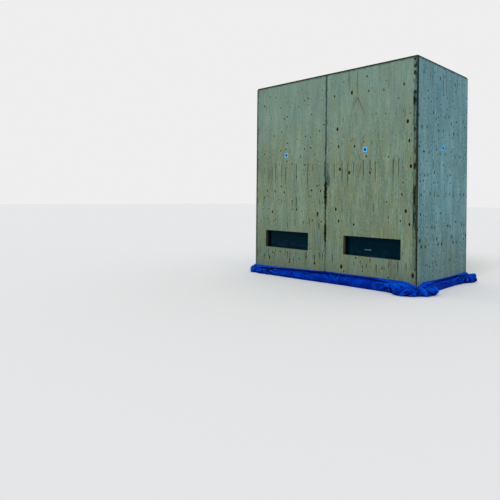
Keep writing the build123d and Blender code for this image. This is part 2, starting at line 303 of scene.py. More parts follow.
# Stroke: a straight stain that leans as it runs down from its top
@shared("across along place top length half lean", "mask")
def stroke(across, along, place, top, length, half, lean):
    drop = top - along
    below = drop / length
    aside = abs(across - (drop * lean + place))
    return ease(below, 0.0, 0.1) * ease(below, 1.0, 0.3) * ease(aside / half, 1.6, 0.5)


# Worn edge: the face veneer frayed and stained by damp, ragged with noise, out to a width from the edge
@shared("gap across along width raggedness seed", "mask")
def wornEdge(gap, across, along, width, raggedness, seed):
    fade = 1.0 - gap / width
    tear = (noise((across * 40.0, along * 15.0, seed), 4.0, 0.65) - 0.5) * raggedness
    return ease(tear * 2.6 + fade, 0.22, 0.62) * (fade > -0.3)


# Blotch: a dark patch of two half sizes round one place, with an outline broken up along the grain; it serves for
# stains and for painted shadow in the gap at the seam between the front sheets
@shared("across along middleAcross middleAlong halfAcross halfAlong", "mask")
def stainAndGapShade(across, along, middleAcross, middleAlong, halfAcross, halfAlong):
    reach = reachOf((across - middleAcross) / halfAcross, (along - middleAlong) / halfAlong)
    broken = (noise((across * 90.0, along * 22.0), 4.0, 0.65) - 0.5) * 2.6
    return ease(broken + reach, 1.15, 0.6)


# Cathedral: brown growth lines nested one in another, as parabolas that open downwards from a tip
@shared("across along middle tip halfWidth length", "mask")
def cathedral(across, along, middle, tip, halfWidth, length):
    aside = (across - middle) / halfWidth
    bend = (noise((across * 14.0, along * 5.0)) - 0.5) * 0.5
    level = (tip - along) / length + bend - aside ** 2
    line = abs(fract(level * 3.4) - 0.5)
    near = ease(abs(aside), 1.1, 0.6) * ease(level, -0.1, 0.1) * ease(level, 1.1, 0.8)
    return near * ease(line, 0.15, 0.02)


# Drip: rust run down from each screw of an upright row, of its own length
@shared("across along row foot pitch", "mask")
def drip(across, along, row, foot, pitch):
    place = (along - foot) / pitch
    lot = lotsAt(floor(place), row)
    down = (1.0 - fract(place)) * pitch
    mask = ease(abs(across - row), 0.0065, 0.0025) * ease(down / (lot[0] * 0.055 + 0.012), 1.0, 0.2)
    return mask * (lot[1] * 0.6 + 0.3)


# Ply edge: five plies seen end on, end grain darker than side grain
@shared("depth run thickness", "colour")
def plyEdge(depth, run, thickness):
    plies = 5.0
    endGrain = fract(depth * plies / thickness * 0.5) > 0.5
    mottle = noise((run * 60.0, depth * 300.0), 3.0)
    colour = blend(endGrain, linear(124, 118, 84), linear(76, 70, 46))
    return blend(ease(mottle, 0.35, 0.7), colour, linear(60, 58, 42))


# Screws that hold the sheets: upright rows on each wall, at the studs, and level rows at the plates
screwLayout = {
    "radius": 0.0044, "rise": 0.0007, "sides": 10, "pitch": 0.3, "foot": wallFoot + 0.10, "head": wallHead - 0.08,
    "levels": (wallFoot + 0.0345, wallHead - 0.019), "roofRows": (-1.2, -0.61, 0.0, 0.61, 1.2), "roofInset": 0.019,
    "rows": {
        "front_sheet_left": (-1.201, -1.054, -0.656, -0.256, -0.011),
        "front_sheet_right": (0.011, 0.256, 0.656, 1.054, 1.196),
        "back_sheet_left": (-1.201, -0.61, -0.011), "back_sheet_right": (0.011, 0.61, 1.201),
        "right_sheet": (-0.578, 0.0, 0.578), "left_sheet": (-0.578, -0.322, 0.322, 0.578),
    },
}

# Tints of the sheets' faces: the window wall is olive grey, the end walls bluer
wallTints = {
    "pale": (131, 153, 133), "dark": (95, 112, 93), "olive": (120, 126, 92), "cool": (106, 132, 130),
    "upper": (113, 147, 142), "knot": (26, 22, 8), "ring": (128, 136, 100),
}
endTints = {
    "pale": (126, 172, 182), "dark": (84, 118, 123), "olive": (108, 134, 126), "cool": (90, 138, 156),
    "upper": (103, 145, 156), "knot": (12, 20, 18), "ring": (88, 116, 112),
}
flatTints = {
    "pale": (116, 128, 122), "dark": (80, 94, 90), "olive": (92, 92, 70), "cool": (96, 112, 116),
    "knot": (26, 22, 8), "ring": (112, 116, 92),
}
longWall, endWall, flatSheet = (0, 2, 1), (1, 2, 0), (1, 0, 2)  # the axes across the grain, along it, through

# Each sheet's face: its axes, the share of knots and checks, and what is placed on it, in metres.
# A knot is (across, height, radius) and repeats at the log's girth; a whorl is (height, spacing, radius).
# A row of checks is (top, length, spacing, share) and a slit is (across, top, length, half width).
# A frayed edge is (side, width, raggedness, darkness); a streak is (across, top, length, half width, lean).
# A blotch, used for stains and for painted shadow in the seam's gap, is (across, along, half across, half along,
# darkness); a figure is (middle, tip, half width, length).
leftWall = {
    "axes": endWall, "seed": 14.7, "tints": endTints, "knotRate": 12.0, "knotSize": 1.0, "checks": 0.9,
    "figure": 0.6, "girth": 0.66, "rows": [(1.42, 0.2, 0.06, 0.5), (0.4, 0.12, 0.06, 0.5)],
}
sheetFinishes = {
    "front_sheet_left": {
        "axes": longWall, "seed": 1.3, "tints": wallTints, "knotRate": 9.5, "knotSize": 1.2, "checks": 0.8,
        "figure": 0.6, "girth": 0.79,
        "knots": [
            (-0.224, 1.095, 0.010), (-0.078, 1.087, 0.010), (-0.696, 1.071, 0.010), (-0.208, 0.722, 0.009),
            (-0.064, 0.714, 0.009), (-0.477, 1.267, 0.008), (-0.477, 0.851, 0.011), (-0.122, 0.812, 0.013),
            (-0.412, 1.519, 0.008), (-0.56, 1.435, 0.008), (-0.18, 1.537, 0.007), (-0.296, 2.24, 0.009),
            (-0.104, 1.821, 0.008), (-0.707, 2.029, 0.008), (-0.592, 0.173, 0.011), (-0.167, 0.199, 0.013),
        ],
        "whorls": [(0.28, 0.12, 0.007)],
        "rows": [
            (1.40, 0.34, 0.088, 0.7), (0.29, 0.15, 0.062, 0.5), (0.97, 0.12, 0.16, 0.6), (0.69, 0.12, 0.15, 0.6),
        ],
        "slits": [
            (-0.631, 0.32, 0.15, 0.005), (-0.317, 0.33, 0.19, 0.005), (-0.522, 0.24, 0.12, 0.005),
            (-0.419, 0.25, 0.05, 0.005), (-0.168, 0.31, 0.16, 0.006), (-0.863, 0.27, 0.08, 0.005),
            (-1.055, 0.25, 0.10, 0.006), (-0.477, 0.31, 0.05, 0.005), (-0.847, 0.32, 0.06, 0.005),
            (-0.96, 0.24, 0.08, 0.005), (-0.592, 0.22, 0.08, 0.005), (-0.48, 1.02, 0.22, 0.005),
        ],
        "frays": [("acrossHigh", 0.019, 1.0, 0.75), ("acrossLow", 0.026, 1.2, 0.7), ("alongHigh", 0.02, 1.0, 0.6)],
        "stainsAndGapShade": [
            (-0.002, 1.05, 0.024, 0.19, 1.0), (-0.002, 0.58, 0.022, 0.14, 1.0), (-0.10, 0.66, 0.012, 0.05, 0.5),
            (-0.004, 1.62, 0.012, 0.10, 0.6), (-0.002, 1.08, 0.018, 0.16, 1.0), (-0.125, 0.80, 0.018, 0.035, 0.7),
            (-1.225, 1.44, 0.013, 0.13, 0.9), (-1.226, 1.05, 0.010, 0.22, 0.7),
        ],
    },
    "front_sheet_right": {
        "axes": longWall, "seed": 8.6, "tints": wallTints, "knotRate": 6.5, "knotSize": 1.1, "checks": 0.7,
        "figure": 1.0, "girth": 0.935,
        "knots": [
            (0.125, 2.21, 0.010), (0.172, 1.815, 0.015), (0.193, 1.61, 0.012), (0.214, 1.342, 0.015),
            (0.158, 0.87, 0.014), (0.203, 0.732, 0.012), (0.247, 0.2, 0.018), (0.352, 1.298, 0.015),
            (0.379, 2.218, 0.016), (0.422, 1.596, 0.011), (0.42, 0.699, 0.011), (0.587, 2.374, 0.009),
            (0.612, 2.206, 0.009), (0.81, 2.191, 0.008), (0.638, 1.289, 0.011), (0.455, 0.32, 0.009),
            (0.547, 0.177, 0.008), (0.805, 0.235, 0.008),
        ],
        "rows": [(1.41, 0.36, 0.098, 0.85), (0.28, 0.15, 0.07, 0.4), (0.9, 0.16, 0.15, 0.5)],
        "slits": [
            (0.731, 0.28, 0.15, 0.006), (0.601, 0.27, 0.08, 0.005), (0.805, 0.27, 0.05, 0.005),
            (0.833, 0.26, 0.05, 0.005), (1.004, 0.345, 0.20, 0.005), (0.547, 0.25, 0.08, 0.005),
            (0.894, 0.31, 0.06, 0.005), (0.43, 0.28, 0.08, 0.005), (0.518, 0.30, 0.05, 0.005),
            (0.649, 0.33, 0.06, 0.005), (0.935, 1.44, 0.34, 0.005), (1.183, 2.16, 1.30, 0.004),
            (1.181, 1.25, 1.20, 0.004),
        ],
        "frays": [
            ("acrossHigh", 0.072, 1.2, 0.5), ("acrossLow", 0.019, 1.0, 0.75), ("alongHigh", 0.018, 1.0, 0.6),
            ("acrossHigh", 0.026, 1.3, 0.9),
        ],
        "streaks": [
            (0.336, 2.477, 0.28, 0.009, 0.0), (0.456, 2.47, 0.42, 0.010, 0.0), (0.449, 2.17, 0.30, 0.011, 0.52),
            (0.454, 2.16, 0.15, 0.010, -0.50), (0.443, 1.96, 0.18, 0.007, 0.05),
            (0.547, 1.715, 0.20, 0.009, -0.18), (0.535, 1.44, 0.27, 0.007, -0.31),
            (0.474, 1.505, 0.08, 0.007, 0.45), (0.634, 1.44, 0.18, 0.006, 0.0),
        ],
        "stainsAndGapShade": [
            (0.002, 1.05, 0.022, 0.19, 1.0), (0.002, 0.58, 0.018, 0.14, 1.0), (0.044, 1.21, 0.032, 0.09, 0.5),
            (0.002, 1.08, 0.017, 0.16, 1.0), (1.188, 2.456, 0.018, 0.018, 0.9), (1.190, 2.383, 0.016, 0.022, 0.85),
            (1.188, 2.313, 0.018, 0.03, 0.9), (1.190, 2.111, 0.018, 0.03, 0.9), (1.186, 2.027, 0.02, 0.055, 0.95),
            (1.192, 1.72, 0.014, 0.03, 0.8), (1.190, 1.34, 0.016, 0.045, 0.9), (1.195, 1.02, 0.014, 0.14, 0.9),
            (1.190, 0.80, 0.014, 0.08, 0.8), (1.206, 0.27, 0.010, 0.025, 0.7),
        ],
        "figures": [(0.43, 2.42, 0.10, 0.62), (0.40, 1.78, 0.09, 0.55)],
    },
    "right_sheet": {
        "axes": endWall, "seed": 4.1, "tints": endTints, "knotRate": 13.0, "knotSize": 1.3, "checks": 0.8,
        "figure": 0.4, "girth": 0.38,
        "knots": [
            (-0.178, 0.563, 0.012), (-0.146, 0.499, 0.012), (-0.060, 0.494, 0.011), (-0.294, 0.697, 0.010),
            (-0.225, 0.684, 0.009), (-0.157, 1.04, 0.009), (-0.245, 1.06, 0.008), (-0.337, 1.06, 0.008),
            (-0.152, 1.757, 0.010), (-0.042, 1.767, 0.008), (-0.205, 1.547, 0.008), (-0.116, 1.502, 0.008),
            (0.011, 1.503, 0.008), (-0.277, 1.94, 0.008), (0.161, 1.873, 0.008), (-0.124, 2.335, 0.009),
        ],
        "whorls": [(2.10, 0.16, 0.007), (1.27, 0.11, 0.007), (0.30, 0.12, 0.008)],
        "rows": [(1.40, 0.16, 0.08, 0.5), (0.55, 0.08, 0.07, 0.6), (2.4, 0.3, 0.13, 0.6), (0.28, 0.07, 0.08, 0.7)],
        "frays": [("acrossHigh", 0.018, 1.0, 0.5), ("acrossLow", 0.010, 0.8, 0.4), ("alongHigh", 0.024, 1.2, 0.7)],
        "streaks": [
            (-0.352, 2.37, 0.2, 0.006, 0.0), (0.031, 2.31, 0.24, 0.006, 0.0), (0.445, 2.47, 0.2, 0.005, 0.0),
            (-0.18, 2.45, 0.14, 0.005, 0.0), (-0.49, 2.43, 0.1, 0.005, 0.0),
        ],
    },
    "left_sheet": {
        **leftWall, "knots": [(-0.4, 2.2, 0.01), (0.42, 1.62, 0.009), (-0.45, 1.05, 0.009)],
        "frays": [("acrossHigh", 0.02, 1.0, 0.5), ("acrossLow", 0.02, 1.0, 0.5), ("alongHigh", 0.02, 1.0, 0.6)],
        "streaks": [(-0.5, 2.42, 0.2, 0.006, 0.0)],
    },
    "door_leaf": {
        **leftWall, "knots": [(0.1, 1.5, 0.01), (-0.12, 0.8, 0.009), (0.02, 1.15, 0.008)],
        "frays": [("acrossHigh", 0.012, 1.0, 0.5), ("acrossLow", 0.014, 1.0, 0.6), ("alongLow", 0.03, 1.0, 0.6)],
    },
    "back_sheet_left": {
        "axes": longWall, "seed": 21.4, "tints": wallTints, "knotRate": 9.0, "knotSize": 1.0, "checks": 1.0,
        "figure": 0.9, "girth": 0.88,
        "knots": [(-1.05, 2.1, 0.012), (-0.98, 1.3, 0.011), (-1.02, 0.62, 0.013), (-0.6, 1.8, 0.009)],
        "rows": [(1.38, 0.32, 0.105, 0.6), (0.3, 0.12, 0.08, 0.5)],
        "frays": [("acrossHigh", 0.022, 0.8, 0.7), ("acrossLow", 0.022, 1.0, 0.5), ("alongHigh", 0.02, 1.0, 0.6)],
        "streaks": [(-0.7, 2.44, 0.18, 0.006, 0.0)],
    },
    "back_sheet_right": {
        "axes": longWall, "seed": 27.9, "tints": wallTints, "knotRate": 11.0, "knotSize": 1.1, "checks": 1.0,
        "figure": 0.6, "girth": 0.7,
        "knots": [(0.3, 2.0, 0.01), (0.41, 1.2, 0.009), (0.36, 0.7, 0.011), (0.6, 1.5, 0.008)],
        "rows": [(1.44, 0.34, 0.094, 0.6), (0.26, 0.12, 0.07, 0.5)],
        "frays": [("acrossHigh", 0.026, 1.0, 0.6), ("acrossLow", 0.02, 0.8, 0.7), ("alongHigh", 0.02, 1.0, 0.6)],
        "streaks": [(0.5, 2.4, 0.2, 0.006, 0.0)],
    },
    "roof_sheet": {
        "axes": flatSheet, "seed": 33.2, "tints": flatTints, "knotRate": 9.0, "knotSize": 1.2, "checks": 1.4,
        "figure": 0.7, "girth": 0.8, "knots": [(0.2, -0.7, 0.012), (0.15, 0.1, 0.011), (0.22, 0.9, 0.012)],
        "rows": [(0.9, 0.5, 0.07, 0.5), (-0.2, 0.6, 0.06, 0.5)],
        "frays": [(side, 0.05, 1.2, 0.7) for side in ("acrossHigh", "acrossLow", "alongHigh", "alongLow")],
    },
    "floor_sheet": {
        "axes": flatSheet, "seed": 41.8, "tints": flatTints, "knotRate": 9.0, "knotSize": 1.0, "checks": 0.6,
        "figure": 0.8, "girth": 0.8, "knots": [(0.1, -0.5, 0.011), (0.14, 0.6, 0.012)],
        "frays": [("alongHigh", 0.03, 1.0, 0.5)],
    },
}
edgeTints = {"roof_sheet": (0.16, 0.24, 0.24, 1), "right_sheet": (0.16, 0.26, 0.28, 1)}  # damp, dark edges
plainEdgeTint = (0.5, 0.55, 0.5, 1)
sootTint = (0.72, 0.76, 0.76, 1)


def makeSheetMaterial(name, finish):
    material, tree = newMaterial(name + "Ply")
    xyz = objectXyz(tree)
    low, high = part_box(name)
    acrossAxis, alongAxis, throughAxis = finish["axes"]
    across, along, through = xyz[acrossAxis], xyz[alongAxis], xyz[throughAxis]
    upright = alongAxis == 2
    tints = {key: linear(*value) for key, value in finish["tints"].items()}
    colour, height, weather, knots, rings, slits = veneer(
        across, along, *(finish[key] for key in ("seed", "knotRate", "knotSize", "checks", "figure")),
        *(tints[key] for key in ("pale", "dark", "olive", "cool")),
    )

    # a cooler head, a browner, darker foot and darker weather clouds
    if upright:
        colour = blend(ease(along, 1.2, 2.4, 0.0, 0.4), colour, tints["upper"])
    towardFoot = ease(along, wallFoot + 0.95, wallFoot) if upright else 0.2
    colour = blend(towardFoot * 0.4, colour, linear(88, 102, 80))
    cloudy = ease(weather, 0.40, 0.66, 0.0, 0.3)
    colour = blend(cloudy, colour, blend(1.0, colour, sootTint, "MULTIPLY"))
    colour = blend(rings, colour, tints["pale"])
    colour = blend(knots, colour, linear(30, 38, 24))
    colour = blend(slits, colour, linear(34, 48, 42))
    girth = finish["girth"]
    turned = maths("WRAP", across, girth, 0.0)
    for knotAcross, knotAlong, radius in finish["knots"]:
        core, ring = knot(turned, along, knotAcross % girth, knotAlong, radius)
        colour = blend(ring * 0.38, colour, tints["ring"])
        colour = blend(core * 0.98, colour, tints["knot"])
        height = height + core * 0.4
    for row in finish.get("whorls", []):
        colour = blend(whorl(across, along, *row) * 0.85, colour, linear(38, 46, 32))
    for figure in finish.get("figures", []):
        colour = blend(cathedral(across, along, *figure) * 0.32, colour, linear(100, 80, 48))
    for number, row in enumerate(finish.get("rows", [])):
        mask = checkRow(across, along, *row, finish["seed"] + 3.0 * number)
        colour = blend(mask * 0.9, colour, linear(26, 40, 34))
        height = height - mask
    for row in screwLayout["rows"].get(name, []):
        mask = drip(across, along, row, screwLayout["foot"], screwLayout["pitch"])
        colour = blend(mask, colour, linear(58, 46, 34))

    wavering = across + (noise((across * 6.0, along * 12.0), 3.0) - 0.5) * 0.036
    for *place, lean in finish.get("streaks", []):
        mask = stroke(wavering if lean else across, along, *place, lean)
        colour = blend(mask * 0.58, colour, linear(88, 82, 54))
    for place in finish.get("slits", []):
        colour = blend(stroke(across, along, *place, 0.0) * 0.9, colour, linear(30, 40, 32))

    edgesAt = {
        "acrossLow": (across, low[acrossAxis]), "acrossHigh": (across, high[acrossAxis]),
        "alongLow": (along, low[alongAxis]), "alongHigh": (along, high[alongAxis]),
    }
    for number, (side, width, raggedness, darkness) in enumerate(finish["frays"]):
        value, edge = edgesAt[side]
        worn = wornEdge(abs(value - edge), across, along, width, raggedness, finish["seed"] + 5.0 * number)
        if upright and side.startswith("across"):  # less at the foot, where the tarpaulin keeps the wind off
            darkness = ease(along, wallFoot + 0.15, wallFoot + 0.6, 0.45 * darkness, darkness)
        colour = blend(worn * darkness, colour, linear(30, 62, 62))
        height = height - worn * 0.6
    # dark blotches: stains, and painted shadow in the gap at the seam between the front sheets
    for *place, darkness in finish.get("stainsAndGapShade", []):
        colour = blend(stainAndGapShade(across, along, *place) * darkness, colour, linear(1, 14, 16))

    plies = plyEdge(through - low[throughAxis], across + along, high[throughAxis] - low[throughAxis])
    edgeColour = blend(1.0, plies, edgeTints.get(name, plainEdgeTint), "MULTIPLY")
    onFace = abs(normalXyz(tree)[throughAxis]) > 0.5
    setShader(tree, blend(onFace, edgeColour, colour), 0.85, (height, 0.35, 0.0012), gloss=0.05)
    return material


def dress(name, material):
    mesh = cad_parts[name].data
    mesh.materials.clear()
    mesh.materials.append(material)


for name, finish in sheetFinishes.items():
    dress(name, makeSheetMaterial(name, finish))
print("plywood sheets finished:", len(sheetFinishes))


# Sawn timber: grain along one axis, with saw marks across it, and painted shade from one depth inwards where asked
def makeTimberMaterial(name, axis, seed, shadedFrom=None):
    material, tree = newMaterial(name)
    xyz = objectXyz(tree)
    parts = [part * (2.6 if i == axis else 70.0) for i, part in enumerate(xyz)]
    parts[axis] = parts[axis] + seed
    grain = noise(parts, 4.0, 0.6)
    saw = noise([part * (5.0 if i == axis else 0.3) for i, part in enumerate(parts)])
    colour = blend(ease(grain, 0.36, 0.66), linear(78, 72, 46), linear(126, 118, 82))
    colour = blend(ease(saw, 0.5, 0.75, 0.0, 0.3), colour, linear(74, 72, 56))
    # painted shade deep in the window reveals: the timber darkens from that depth behind the face
    if shadedFrom is not None:
        colour = blend(ease(xyz[1], shadedFrom, shadedFrom + 0.012, 0.2, 0.9), colour, linear(16, 16, 10))
    setShader(tree, colour, 0.8, (grain + saw, 0.3, 0.001))
    return material


timberRuns = {
    0: ["runner_front", "runner_middle", "runner_back", "front_bottom_plate", "back_bottom_plate",
        "front_top_plate", "back_top_plate"],
    1: ["left_bottom_plate", "right_bottom_plate", "left_top_plate", "right_top_plate", "rafters",
        "door_lintel", "door_ledges"],
    2: ["back_studs", "right_stud", "door_jambs"],
}
for axis, names in timberRuns.items():
    timber = makeTimberMaterial(f"timberAlong{'XYZ'[axis]}", axis, 3.7 * axis)
    for name in names:
        dress(name, timber)
revealDepth = 0.022  # where the painted shade beside the panes starts, behind the face
for name, axis in (("window_rails", 0), ("front_studs", 2)):
    dress(name, makeTimberMaterial(f"windowTimber{'XYZ'[axis]}", axis, 9.1, frontFace + revealDepth))

paneLightStreak = {"across": 0.585, "up": 0.418, "half": 0.05, "thick": 0.006}  # painted light: a pale streak low on the right pane


# Panes: dark tinted acrylic with darker marks, dusty towards its lower edge, with painted shadow beside the left
# stud and painted light in a pale streak low on the right pane
def makePaneMaterial(name):
    material, tree = newMaterial(name + "Tint")
    x, y, z = objectXyz(tree)
    left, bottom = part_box(name)[0][0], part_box(name)[0][2]
    sweep = noise((x * 7.0, z * 16.0), 4.0)
    dust = ease(z, bottom + 0.16, bottom + 0.03) * ease(sweep, 0.4, 0.7)
    colour = blend(dust * 0.4, linear(1, 24, 36), linear(6, 58, 70))
    marks = noise((x * 18.0, z * 26.0, 3.0), 4.0, 0.6)
    colour = blend(ease(marks, 0.56, 0.64, 0.0, 0.6), colour, linear(0, 12, 22))
    # painted shadow along the pane beside the left stud
    colour = blend(ease(x, left + 0.10, left + 0.06, 0.0, 0.8), colour, linear(0, 5, 9))
    # painted light: a pale streak across the right pane
    aside = abs((x - paneLightStreak["across"]) / paneLightStreak["half"])
    ripple = (noise((x * 60.0, 0.0), 3.0) - 0.5) * 0.02
    above = abs((z - (ripple + paneLightStreak["up"])) / paneLightStreak["thick"])
    lightStreak = ease(aside, 1.1, 0.7) * ease(above, 1.2, 0.4)
    colour = blend(lightStreak, colour, linear(74, 108, 118))
    setShader(tree, colour, dust * 0.3 + 0.1, gloss=0.05, glossTint=(0.05, 0.6, 0.9, 1))
    return material


for name in ("window_pane_left", "window_pane_right"):
    dress(name, makePaneMaterial(name))


# Markers: a pale plate, with the boss painted a deeper blue
def makeMarkerMaterial(name, axis):
    material, tree = newMaterial(name + "Plastic")
    xyz = objectXyz(tree)
    low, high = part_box(name)
    discRadius = 0.0175
    fromMiddle = [xyz[a] - (low[a] + high[a]) / 2 for a in range(3) if a != axis]
    grime = noise(xyz, 3.0, scale=60.0)
    plate = blend(ease(grime, 0.4, 0.75), linear(84, 192, 250), linear(62, 166, 226))
    disc = blend(ease(grime, 0.4, 0.7), linear(2, 66, 132), linear(1, 48, 100))
    colour = blend(reachOf(*fromMiddle) < discRadius, plate, disc)
    setShader(tree, colour, 0.6, (grime, 0.1, 0.0005), gloss=0.08)
    return material


for name, axis in (("marker_left", 1), ("marker_right", 1), ("marker_side", 0)):
    dress(name, makeMarkerMaterial(name, axis))


# Ironwork: black paint worn through to rust in patches
def makeIronMaterial():
    material, tree = newMaterial("blackIron")
    xyz = objectXyz(tree)
    rust = ease(noise(xyz, 5.0, 0.65, scale=38.0), 0.56, 0.66)
    pitted = noise(xyz, 3.0, scale=420.0)
    rustColour = blend(pitted, linear(70, 38, 20), linear(122, 70, 38))
    colour = blend(rust, linear(30, 32, 34), rustColour)
    setShader(tree, colour, rust * 0.4 + 0.42, (pitted + rust, 0.3, 0.0006), metal=rust * -0.3 + 0.4)
    return material


ironMaterial = makeIronMaterial()
for name in ("hinge_straps", "hinge_flanges", "hinge_pins", "door_pull", "door_hasp", "hasp_staple"):
    dress(name, ironMaterial)
print("timber, panes, markers and ironwork finished")


def meshPiece(name, points, faces, material, smooth=True):
    mesh = bpy.data.meshes.new(name)
    mesh.from_pydata(points.tolist(), [], faces)
    mesh.materials.append(material)
    mesh.polygons.foreach_set("use_smooth", np.full(len(mesh.polygons), smooth))
    mesh.update()
    piece = bpy.data.objects.new(name, mesh)
    bpy.context.scene.collection.objects.link(piece)
    return piece


def gridFaces(rows, columns):
    corner = (np.arange(rows - 1)[:, None] * columns + np.arange(columns - 1)[None, :]).ravel()
    return np.stack([corner, corner + 1, corner + columns + 1, corner + columns], axis=1).tolist()


# The cell of a square lattice that each place falls in: the shares across it, and the values at its corners
def latticeCell(u, v, size, shift, seed):
    count = 512
    table = np.random.default_rng(seed).uniform(-1, 1, (count, count))
    x, y = u / size + shift[0], v / size + shift[1]
    i, j = np.floor(x).astype(int), np.floor(y).astype(int)
    corners = [table[(i + across) % count, (j + up) % count] for up in (0, 1) for across in (0, 1)]
    return x - i, y - j, *corners


# Values at the corners of a square lattice, eased between them
def smoothNoise(u, v, size, seed):
    fx, fy, a, b, c, d = latticeCell(u, v, size, (97.3, 41.7), seed)
    fx, fy = fx * fx * (3 - 2 * fx), fy * fy * (3 - 2 * fy)
    return (a * (1 - fx) + b * fx) * (1 - fy) + (c * (1 - fx) + d * fx) * fy


# Values at the corners of triangles, joined by flat planes, so that the cloth gets sharp creases
def facetNoise(u, v, size, seed):
    u = u + size * 0.35 * smoothNoise(u, v, size * 1.3, seed + 1)
    v = v + size * 0.35 * smoothNoise(u, v, size * 1.3, seed + 2)
    fx, fy, a, b, c, d = latticeCell(u, v, size, (53.1, 71.9), seed)
    lower = a + fx * (b - a) + fy * (c - a)
    upper = d + (1 - fx) * (c - d) + (1 - fy) * (b - d)
    return np.where(fx + fy < 1, lower, upper)


# Screw heads: about each place a ring on the wall, a smaller ring risen off it, and a lower point in the middle
def screwHeads(places, normals, settings):
    sides = settings["sides"]
    turn = np.linspace(0, 2 * math.pi, sides, endpoint=False)
    places, normals = np.array(places), np.array(normals, float)
    helper = np.where(np.abs(normals[:, 2:]) < 0.5, (0.0, 0.0, 1.0), (1.0, 0.0, 0.0))
    sideways = np.cross(normals, helper)
    upward = np.cross(normals, sideways)
    ring = np.cos(turn)[None, :, None] * sideways[:, None] + np.sin(turn)[None, :, None] * upward[:, None]
    ring *= settings["radius"]
    risen = settings["rise"] * normals[:, None]
    points = places[:, None] + np.concatenate([ring, 0.72 * ring + risen, 0.55 * risen], axis=1)
    k = np.arange(sides)
    after = (k + 1) % sides
    slope = np.stack([k, sides + k, sides + after, after], axis=1)
    cap = np.stack([sides + k, np.full(sides, 2 * sides), sides + after], axis=1)
    first = np.arange(len(places))[:, None, None] * (2 * sides + 1)
    faces = (first + slope).reshape(-1, 4).tolist() + (first + cap).reshape(-1, 3).tolist()
    return points.reshape(-1, 3), faces


def makeScrewMaterial():
    material, tree = newMaterial("dullZinc")
    patch = noise(objectXyz(tree), 3.0, scale=140.0)
    colour = blend(ease(patch, 0.4, 0.6), linear(64, 74, 74), linear(58, 42, 30))
    setShader(tree, colour, 0.6, (patch, 0.2, 0.0004), metal=0.3)
    return material


def layScrews(settings):
    faces = {  # the wall's axis, its outer face and its way out
        "front_sheet_left": (1, frontFace, -1), "front_sheet_right": (1, frontFace, -1),
        "back_sheet_left": (1, backFace, 1), "back_sheet_right": (1, backFace, 1),
        "right_sheet": (0, rightFace, 1), "left_sheet": (0, leftFace, -1),
    }
    foot, pitch = settings["foot"], settings["pitch"]
    count = int((settings["head"] - foot) / pitch) + 1
    places, normals = [], []
    for name, rows in settings["rows"].items():
        axis, face, way = faces[name]
        low, high = (corner[1 - axis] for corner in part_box(name))
        steps = int((high - low) / pitch)
        spots = [(row, foot + k * pitch) for row in rows for k in range(count)]
        spots += [(low + (k + 0.5) * (high - low) / steps, up) for k in range(steps) for up in settings["levels"]]
        normal = [0.0, 0.0, 0.0]
        normal[axis] = way
        for across, up in spots:
            place = [across, across, up]
            place[axis] = face
            places.append(place)
            normals.append(normal)
    (_, low, _), (_, high, top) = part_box("roof_sheet")
    inset = settings["roofInset"]
    places += [(x, y, top) for x in settings["roofRows"] for y in np.linspace(low + inset, high - inset, 4)]
    normals += [(0.0, 0.0, 1.0)] * (len(places) - len(normals))
    return screwHeads(places, normals, settings)


screwPoints, screwFaces = layScrews(screwLayout)
screws = meshPiece("sheetScrews", screwPoints, screwFaces, makeScrewMaterial())
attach(screws, "root")
print("screws set:", len(screwFaces) // (2 * screwLayout["sides"]))


